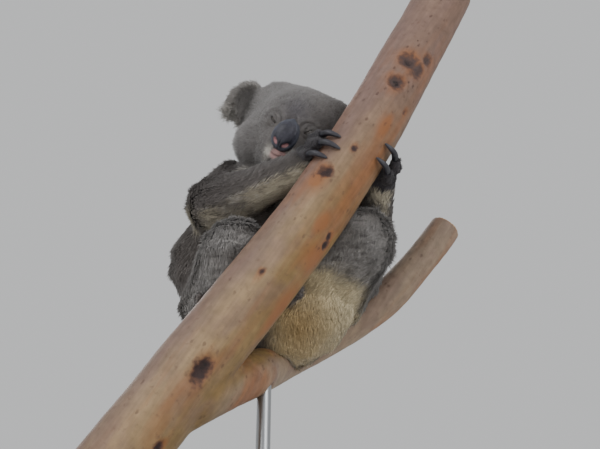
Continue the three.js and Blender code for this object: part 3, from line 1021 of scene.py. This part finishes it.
def shapedNose():
    form = noseForm
    mesh = remeshed(meshFrom(shellOf("nose", form["grow"])), form["voxel"])
    edges = edgesOf(mesh)
    points = pointsOf(mesh)
    points = relax(points, edges, form["smoothing"], np.ones(len(points)))
    x, y, z = toHead(points).T
    z = np.where(z > form["top"], form["top"] + (z - form["top"]) * form["topShare"], z)
    roll, low = math.radians(form["roll"]), z - form["pivot"]
    points = fromHead(np.c_[x * math.cos(roll) + low * math.sin(roll), y,
                            low * math.cos(roll) - x * math.sin(roll) + form["pivot"]])
    setPoints(mesh, points)
    normals = normalsOf(mesh)
    facing = -normals @ headAxes[1]
    front = smoothStep(*form["facing"], facing)
    slant = math.radians(form["slant"])
    hollow, slot = np.zeros(len(points)), np.zeros(len(points))
    for sign in sides.values():
        a, b = x * sign - form["across"], z - form["up"]
        along = a * math.cos(slant) + b * math.sin(slant)
        across = b * math.cos(slant) - a * math.sin(slant)
        inHollow = np.hypot(along / form["long"], across / form["short"])
        inSlot = np.hypot(along / form["slotLong"], (across - form["slotUp"]) / form["slotWide"])
        hollow = np.maximum(hollow, bump(inHollow, 1.0) * front)
        slot = np.maximum(slot, bump(inSlot, 1.0) * front)
    crease = bump(x, form["creaseWide"]) * smoothStep(*form["creaseBelow"], z) * front
    edge = smoothStep(*form["rimFrom"], facing) * smoothStep(*form["rimTo"], facing)
    move = edge * form["rim"] - crease * form["crease"] - hollow * form["deep"]
    points += normals * move[:, None]
    setPoints(mesh, spread(points, edges, 1, 0.5))
    for name, values in (("hollow", hollow), ("slot", slot), ("edge", edge)):
        setAttribute(mesh, name, values)
    mesh.shade_smooth()
    return mesh


def noseMaterial():
    material, tree, surface = newMaterial("nose leather", Roughness=0.5, Specular_IOR_Level=0.4)
    place = objectPlace(tree)
    cells = cellsIn(tree, place, 900, "SMOOTH_F1")
    leather = blended(tree, noisy(tree, place, 120, 4, (0.35, 0.65)), "#26262f", "#383844")
    pitted = blended(tree, ranged(tree, cells, 0.15, 0.6, 0, 0.4), leather, "#1c1c22")
    # Painted highlight: paler slate round the pad's rim, where its surface turns away
    highlitRim = blended(tree, times(tree, attribute(tree, "edge"), 0.5), pitted, "#565b66")
    pink = blended(tree, ranged(tree, attribute(tree, "hollow"), 0.25, 0.5), highlitRim, "#966a6d")
    # Painted shade: the dark slot inside each nostril
    deep = blended(tree, ranged(tree, attribute(tree, "slot"), 0.35, 0.6), pink, "#2c1a1b")
    linked(tree, surface, Base_Color=deep)
    bumped(tree, surface, plus(tree, cells, noiseIn(tree, place, 400)), 0.5, 0.5 * mm)
    return material


handOver(newObject("nose_pad", shapedNose(), noseMaterial()), "nose_leather", "nose")


# Eyes and claws

def eyeMaterial():
    material, tree, surface = newMaterial("eye", Roughness=0.08, Coat_Weight=0.6)
    iris = blended(tree, noiseIn(tree, objectPlace(tree), 350), "#1a0f0a", "#3a2216")
    linked(tree, surface, Base_Color=iris)
    return material


eyeRound = {"u_segments": 40, "v_segments": 24}
eyeFinish = eyeMaterial()
for side in sides:
    form = bmesh.new()
    bmesh.ops.create_uvsphere(form, radius=eyeRadius, **eyeRound)
    bmesh.ops.translate(form, verts=form.verts, vec=Vector(eyes[side]))
    ball = newObject("eyeball_" + side, meshFrom(form), eyeFinish)
    ball.data.shade_smooth()
    handOver(ball, "eye", "eye_" + side)


def clawMaterial():
    material, tree, surface = newMaterial("claw horn", Roughness=0.42, Specular_IOR_Level=0.4)
    place = objectPlace(tree)
    worn = blended(tree, noisy(tree, place, 260, 4, (0.35, 0.7)), "#17171c", "#2a2a31")
    tip = blended(tree, ranged(tree, attribute(tree, "tip"), 0.45, 1.0, 0, 0.4), worn, "#48464e")
    linked(tree, surface, Base_Color=tip)
    bumped(tree, surface, noiseIn(tree, place, 700, 2), 0.25, 0.3 * mm)
    return material


# The claws of one paw in one piece: the frame's claws made round and smooth
clawForm = {"grow": 1.1 * mm, "levels": 2}
clawFinish = clawMaterial()
for paw in ("hand_right", "hand_left", "foot_right", "foot_left"):
    nodes = sorted(n for n in frame["nodes"] if n.startswith("claw_" + paw))
    whole = bmesh.new()
    tips = []
    for node in nodes:
        mesh = subdivided(meshFrom(shellOf(node, clawForm["grow"])), clawForm["levels"])
        reach = lengthOf(pointsOf(mesh) - middleOf(paw))
        tips.append(smoothStep(reach.min(), reach.max(), reach))
        whole.from_mesh(mesh)
    mesh = meshFrom(whole)
    setAttribute(mesh, "tip", np.concatenate(tips))
    mesh.shade_smooth()
    handOver(newObject("claws_" + paw, mesh, clawFinish), "claw", *nodes)
print("nose, eyes and claws ready")


# The perch: one barked surface over limb and branch
perchForm = {"voxel": 2.5 * mm, "grow": 1.9 * mm, "levels": 2, "smoothing": 60, "lean": 31,
             "swell": 1.6 * mm, "swellSize": 60 * mm, "dimple": 0.5 * mm, "dimpleSize": 11 * mm,
             "cutReach": 60 * mm, "cutEdge": (-1.5 * mm, -0.2 * mm), "flat": (-12 * mm, -3 * mm),
             "keptFlat": 0.93, "ringsDepth": 14 * mm, "lineEnds": 50 * mm, "linePlaces": 40}
# A knot: a sunk heart in a swollen collar, over a stain that widens downwards
knotForm = {"soft": 2.4, "sinkSoft": 3, "collar": 1.25, "collarWide": 0.5, "collarHigh": 0.5,
            "trailWide": 1.3, "widens": 0.3, "above": 1.5}
# Knots on the front (-1) and the back (1), by their x and height, half-width and half-length, and how
# deep they sink, all in mm, and by how many half-lengths they stain the bark below them
knots = {
    -1: [(133, 735, 12, 11, 2.5, 1.4), (144, 725, 8, 11, 2, 1.2), (158, 746, 6, 8, 1, 1),
         (116, 701, 10, 10, 4, 1.6), (30, 571, 8.5, 8.5, 4, 5), (32, 499, 4, 6, 1.5, 3),
         (27, 490, 5, 6, 1.5, 3), (-41, 444, 3.5, 4.5, 1.5, 2.5), (-99, 337, 9, 17, 3.5, 4),
         (-138, 262, 5, 9, 1.5, 2), (62, 604, 3.5, 6, 1, 2), (124, 668, 2.5, 7, 0.8, 1)],
    1: [(-30, 470, 9, 12, 4, 4), (118, 690, 8, 9, 3, 3), (-150, 290, 7, 13, 3, 3)],
}
# Rusty stains on the front, by their x and height, half-width and half-length
stains = [(14, 474, 17, 28), (24, 508, 9, 18), (-20, 420, 12, 44), (19, 560, 10, 15), (100, 640, 9, 22)]


# The flat cut faces at the perch's free ends: each one's middle and way out
def cutEnds():
    ends = []
    for node, lowToo in (("perch_limb", True), ("perch_branch", False)):
        form = shellOf(node)
        points = np.array([v.co for v in form.verts])
        for pick in ([np.argmax, np.argmin] if lowToo else [np.argmax]):
            tip = points[pick(points[:, 2])]
            near = [f for f in form.faces if min((v.co - Vector(tip)).length for v in f.verts) < 1 * mm]
            overall = unit(points[points[:, 2].argmax()] - points[points[:, 2].argmin()])
            way = max((f.normal for f in near), key=lambda n: abs(n.dot(Vector(overall))))
            flat = [f for f in form.faces if f.normal.dot(way) > 0.99]
            middle = sum((f.calc_center_median() * f.calc_area() for f in flat), Vector())
            ends.append((np.array(middle / sum(f.calc_area() for f in flat)), np.array(way)))
    return ends


# A wooden node rounded off, but for its cut ends
def rounded(node):
    form = shellOf(node, perchForm["grow"])
    crease = form.edges.layers.float.new("crease_edge")
    for edge in sharpEdges(form):
        edge[crease] = 1
    return subdivided(meshFrom(form), perchForm["levels"])


# The limb's middle line and half-width at each height, as seen from the front
def limbLine():
    tree = BVHTree.FromBMesh(shellOf("perch_limb"))
    low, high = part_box("perch_limb")
    depth = (low.y + high.y) / 2
    line = []
    ends = perchForm["lineEnds"]
    for z in np.linspace(low.z + ends, high.z - ends, perchForm["linePlaces"]):
        edges = [tree.ray_cast(Vector((s, depth, z)), Vector((-s, 0, 0)))[0].x for s in (-1, 1)]
        line.append((z, sum(edges) / 2, (edges[1] - edges[0]) / 2))
    return np.array(line).T


def shapedPerch():
    whole = bmesh.new()
    for node in ("perch_limb", "perch_branch"):
        whole.from_mesh(rounded(node))
    mesh = remeshed(meshFrom(whole), perchForm["voxel"])
    points, edges = pointsOf(mesh), edgesOf(mesh)
    cut = np.zeros(len(points))
    keep = np.zeros(len(points))
    cuts = np.zeros((len(points), 3))
    for middle, way in cutEnds():
        local = points - middle
        depth = local @ way
        near = lengthOf(local - np.outer(depth, way)) < perchForm["cutReach"]
        cut = np.maximum(cut, near * smoothStep(*perchForm["cutEdge"], depth))
        keep = np.maximum(keep, near * smoothStep(*perchForm["flat"], depth))
        cuts[near & (depth > -perchForm["ringsDepth"])] = middle
    points = relax(points, edges, perchForm["smoothing"], 1 - keep * perchForm["keptFlat"])
    setPoints(mesh, points)
    normals = normalsOf(mesh)
    tree = BVHTree.FromBMesh(shellsOf(["perch_limb", "perch_branch"], 0)[0])
    lean = math.radians(perchForm["lean"])
    along = np.array([math.sin(lean), 0, math.cos(lean)])
    knot, trail, move = (np.zeros(len(points)) for _ in range(3))
    for side, group in knots.items():
        for x, z, wide, long, deep, stained in group:
            start = Vector((x * mm, side * 1.0, z * mm))
            local = points - np.array(tree.ray_cast(start, Vector((0, -side, 0)))[0])
            run = local @ along / (long * mm)
            across = np.sqrt(np.maximum(lengthOf(local) ** 2 - (local @ along) ** 2, 0)) / (wide * mm)
            ring = np.hypot(run, across)
            knot = np.maximum(knot, np.exp(-ring ** knotForm["soft"]))
            fade = np.where(run < 0, np.exp(run / stained), bump(run, knotForm["above"]))
            trailWide = knotForm["trailWide"] + knotForm["widens"] * np.abs(run)
            trail = np.maximum(trail, fade * bump(across, trailWide))
            collar = bump(ring - knotForm["collar"], knotForm["collarWide"]) * knotForm["collarHigh"]
            move += (collar - np.exp(-ring ** knotForm["sinkSoft"])) * deep * mm
    for x, z, wide, long in stains:
        local = points - np.array(tree.ray_cast(Vector((x * mm, -1.0, z * mm)), Vector((0, 1, 0)))[0])
        run = local @ along
        across = np.sqrt(np.maximum(lengthOf(local) ** 2 - run ** 2, 0))
        trail = np.maximum(trail, bump(np.hypot(run / (long * mm), across / (wide * mm)), 1.0))
    swell = noiseOf(points * [1, 1, 0.6], perchForm["swellSize"], 3)
    rough = noiseOf(points, perchForm["dimpleSize"], 5)
    move += swell * perchForm["swell"] + rough * perchForm["dimple"] * (0.6 + 2.4 * knot)
    points += normals * (move * (1 - cut))[:, None]
    setPoints(mesh, points)
    x, _, z = points.T
    heights, middles, halves = limbLine()
    across = np.clip((x - np.interp(z, heights, middles)) / np.interp(z, heights, halves), -1.5, 1.5)
    for name, values in (("cut", cut), ("knot", knot), ("trail", trail), ("across", across),
                         ("fromHeart", lengthOf(points - cuts))):
        setAttribute(mesh, name, values)
    mesh.shade_smooth()
    return mesh


# Colours of the bark: three bands along the limb, the left one painted shade and the middle one partly a
# painted highlight, the wash over its top, and its stains
barkTones = {"shady": "#735f52", "cream": "#927b5e", "ochre": "#7e6641", "top": "#765e55",
             "branch": "#8a7a6c", "rust": "#8a5834", "greyed": "#6e6559", "mauve": "#735c56",
             "dot": "#452f28", "crust": "#5a3f34", "core": "#372725", "coreTop": "#4b3a36",
             "heart": "#1e1617", "earlyWood": "#a67d52", "lateWood": "#c4a377", "pith": "#7d5630"}


def barkMaterial():
    material, tree, surface = newMaterial("smooth gum bark", Specular_IOR_Level=0.3)
    place = objectPlace(tree)
    height = addNode(tree, "ShaderNodeSeparateXYZ", {"Vector": place}).outputs["Z"]
    across = attribute(tree, "across")
    tone = {name: (*linearColour(code), 1) for name, code in barkTones.items()}
    colour = tone["cream"]

    def drawnOut(share):
        return stretched(tree, place, (1, 1, share), math.radians(-perchForm["lean"]))

    def lay(name, share):
        nonlocal colour
        colour = blended(tree, share, colour, tone[name])

    # Bands that wander along the limb: shady, which is painted shade down its left side; cream, the bark's
    # own colour and a painted highlight down the middle; ochre. The branch lies past the right band.
    grain, streaks = drawnOut(0.22), drawnOut(0.07)
    band = plus(tree, across, centred(tree, noiseIn(tree, grain, 13, 4), 2.2))
    lay("shady", ranged(tree, band, 0.0, -0.75))
    lay("ochre", ranged(tree, band, 0.05, 0.7))
    lay("top", ranged(tree, height, 0.50, 0.70, 0, 0.85))
    lay("branch", ranged(tree, across, 1.1, 1.4, 0, 0.7))
    lay("greyed", noisy(tree, grain, 9, 3, (0.52, 0.72), (0, 0.5)))
    lay("mauve", noisy(tree, drawnOut(0.5), 42, 6, (0.46, 0.62), (0, 0.4)))

    # Rust-coloured streaks, most of them on the right, and fine grain
    rightward = ranged(tree, band, -0.5, 0.6, 0.25, 0.9)
    rust = noisy(tree, drawnOut(0.14), 21, 5, (0.50, 0.66))
    lay("rust", times(tree, rust, times(tree, rightward, 0.78)))
    mottle = noisy(tree, place, 95, 5, (0.3, 0.7), (0.86, 1.12))
    fine = noisy(tree, streaks, 260, 4, (0.3, 0.7), (0.88, 1.1))
    colour = scaled(tree, colour, times(tree, mottle, fine))

    # Stains on the bark and below the knots, and scattered dots, crowded beside the upper knots
    stained = plus(tree, attribute(tree, "trail"), centred(tree, noiseIn(tree, grain, 55, 6), 1.5))
    lay("rust", ranged(tree, stained, 0.22, 0.8, 0, 0.8))
    beside = times(tree, ranged(tree, across, -0.5, -0.1), ranged(tree, across, 0.85, 0.5))
    crowded = times(tree, ranged(tree, height, 0.60, 0.65), beside)
    bare = noisy(tree, place, 70, 1, (0.42, 0.55), (0, 0.8))
    few = plus(tree, noisy(tree, place, 24, 2, (0.52, 0.60), (0, 0.6)), times(tree, crowded, bare))
    torn = plus(tree, cellsIn(tree, drawnOut(0.6), 120), times(tree, noiseIn(tree, place, 480, 2), 0.3))
    dots = times(tree, ranged(tree, torn, 0.40, 0.30), few)
    lay("dot", times(tree, dots, 0.8))

    # The knots, from their crust to their heart
    core = plus(tree, attribute(tree, "knot"), centred(tree, noiseIn(tree, place, 150, 6), 1.3))
    tone["middle"] = blended(tree, ranged(tree, height, 0.60, 0.68), tone["core"], tone["coreTop"])
    lay("crust", ranged(tree, core, 0.15, 0.42, 0, 0.75))
    lay("middle", ranged(tree, core, 0.38, 0.72))
    lay("heart", ranged(tree, core, 0.85, 1.15))

    # Growth rings on the sawn ends
    fromHeart = attribute(tree, "fromHeart")
    rings = calc(tree, "SINE", times(tree, fromHeart, 2100.0))
    wood = blended(tree, ranged(tree, rings, -1, 1), tone["earlyWood"], tone["lateWood"])
    tone["sawn"] = blended(tree, ranged(tree, fromHeart, 6 * mm, 0, 0, 0.6), wood, tone["pith"])
    lay("sawn", ranged(tree, attribute(tree, "cut"), 0.4, 0.7))
    linked(tree, surface, Base_Color=colour, Roughness=noisy(tree, grain, 40, 3, (0.3, 0.7), (0.55, 0.75)))
    relief = plus(tree, times(tree, noiseIn(tree, streaks, 180, 5), 0.5),
                  times(tree, noiseIn(tree, place, 420, 4), 0.35))
    bumped(tree, surface, calc(tree, "SUBTRACT", relief, times(tree, dots, 0.35)), 0.6, 1.0 * mm)
    return material


handOver(newObject("perch", shapedPerch(), barkMaterial()), "bark", "perch_limb", "perch_branch")
print("perch ready")


# The stand: a painted board with bevelled edges, and two brushed rods in collars
standForm = {"bevel": 2.5 * mm, "rodBevel": 0.8 * mm, "collarRadius": 15 * mm, "collarHigh": 9 * mm,
             "round": 64}


def boardMaterial():
    material, tree, surface = newMaterial("painted board", Specular_IOR_Level=0.4)
    place = objectPlace(tree)
    grain = noiseIn(tree, stretched(tree, place, (0.12, 1, 1)), 240, 5)
    linked(tree, surface, Base_Color=blended(tree, ranged(tree, grain, 0.3, 0.7), "#34322f", "#423f3b"),
           Roughness=ranged(tree, grain, 0.3, 0.7, 0.42, 0.6))
    bumped(tree, surface, grain, 0.25, 0.4 * mm)
    return material


def steelMaterial():
    material, tree, surface = newMaterial("brushed steel", Metallic=1.0)
    brushed = noiseIn(tree, stretched(tree, objectPlace(tree), (1, 1, 0.03)), 900, 3)
    linked(tree, surface, Base_Color=blended(tree, brushed, "#8f9193", "#b4b6b8"),
           Roughness=ranged(tree, brushed, 0.3, 0.7, 0.28, 0.42))
    return material


# A form with its sharp rims rounded over
def bevelled(form, offset, segments):
    bmesh.ops.bevel(form, geom=sharpEdges(form), offset=offset, segments=segments, profile=0.5,
                    affect="EDGES")
    mesh = meshFrom(form)
    mesh.shade_smooth()
    return withModifier(mesh, "WEIGHTED_NORMAL", keep_sharp=True)


def board():
    form = shellOf("stand_base")
    bmesh.ops.dissolve_limit(form, angle_limit=math.radians(1), verts=form.verts, edges=form.edges)
    return bevelled(form, standForm["bevel"], 3)


# A rod with its collar on the board
def rod(node):
    low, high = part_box(node)
    middle = (low + high) / 2
    radius = (high.x - low.x) / 2
    form = bmesh.new()
    for wide, top in ((radius, high.z), (standForm["collarRadius"], low.z + standForm["collarHigh"])):
        made = bmesh.ops.create_cone(form, segments=standForm["round"], radius1=wide, radius2=wide,
                                     depth=top - low.z, cap_ends=True)["verts"]
        bmesh.ops.translate(form, verts=made, vec=Vector((middle.x, middle.y, (low.z + top) / 2)))
    return bevelled(form, standForm["rodBevel"], 2)


steel = steelMaterial()
for name, node, mesh, finish, slot in (
        ("display_board", "stand_base", board(), boardMaterial(), "stand_board"),
        ("rod_lower", "stand_rod_lower", rod("stand_rod_lower"), steel, "stand_steel"),
        ("rod_upper", "stand_rod_upper", rod("stand_rod_upper"), steel, "stand_steel")):
    handOver(newObject(name, mesh, finish), slot, node)
print("stand ready")


# Floor and light
studio = {"floor": (0.78, 0.77, 0.75, 1), "world": (0.90, 0.91, 0.92, 1), "strength": 0.7, "floorHalf": 40}
lamps = {
    "key": {"place": (-3.2, -3.7, 2.9), "size": 3.5, "watts": 162},
    "fill": {"place": (3.4, -3.7, 1.6), "size": 2.8, "watts": 94},
    "rim": {"place": (-1.5, 3.7, 3.4), "size": 3.0, "watts": 162},
}


def makeStudio():
    form = bmesh.new()
    bmesh.ops.create_grid(form, x_segments=1, y_segments=1, size=studio["floorHalf"])
    paint = newMaterial("studio floor", Base_Color=studio["floor"], Roughness=0.9)[0]
    newObject("floor", meshFrom(form), paint)
    world = bpy.data.worlds.new("studio")
    world.use_nodes = True
    sky = world.node_tree.nodes["Background"]
    sky.inputs["Color"].default_value = studio["world"]
    sky.inputs["Strength"].default_value = studio["strength"]
    bpy.context.scene.world = world
    for name, lamp in lamps.items():
        light = bpy.data.lights.new(name, "AREA")
        light.size = lamp["size"]
        light.energy = lamp["watts"]
        holder = newObject(name, light)
        holder.location = lamp["place"]
        holder.visible_camera = False
        holder.rotation_euler = (view["target"] - holder.location).to_track_quat("-Z", "Y").to_euler()


makeStudio()
print("floor and light ready")
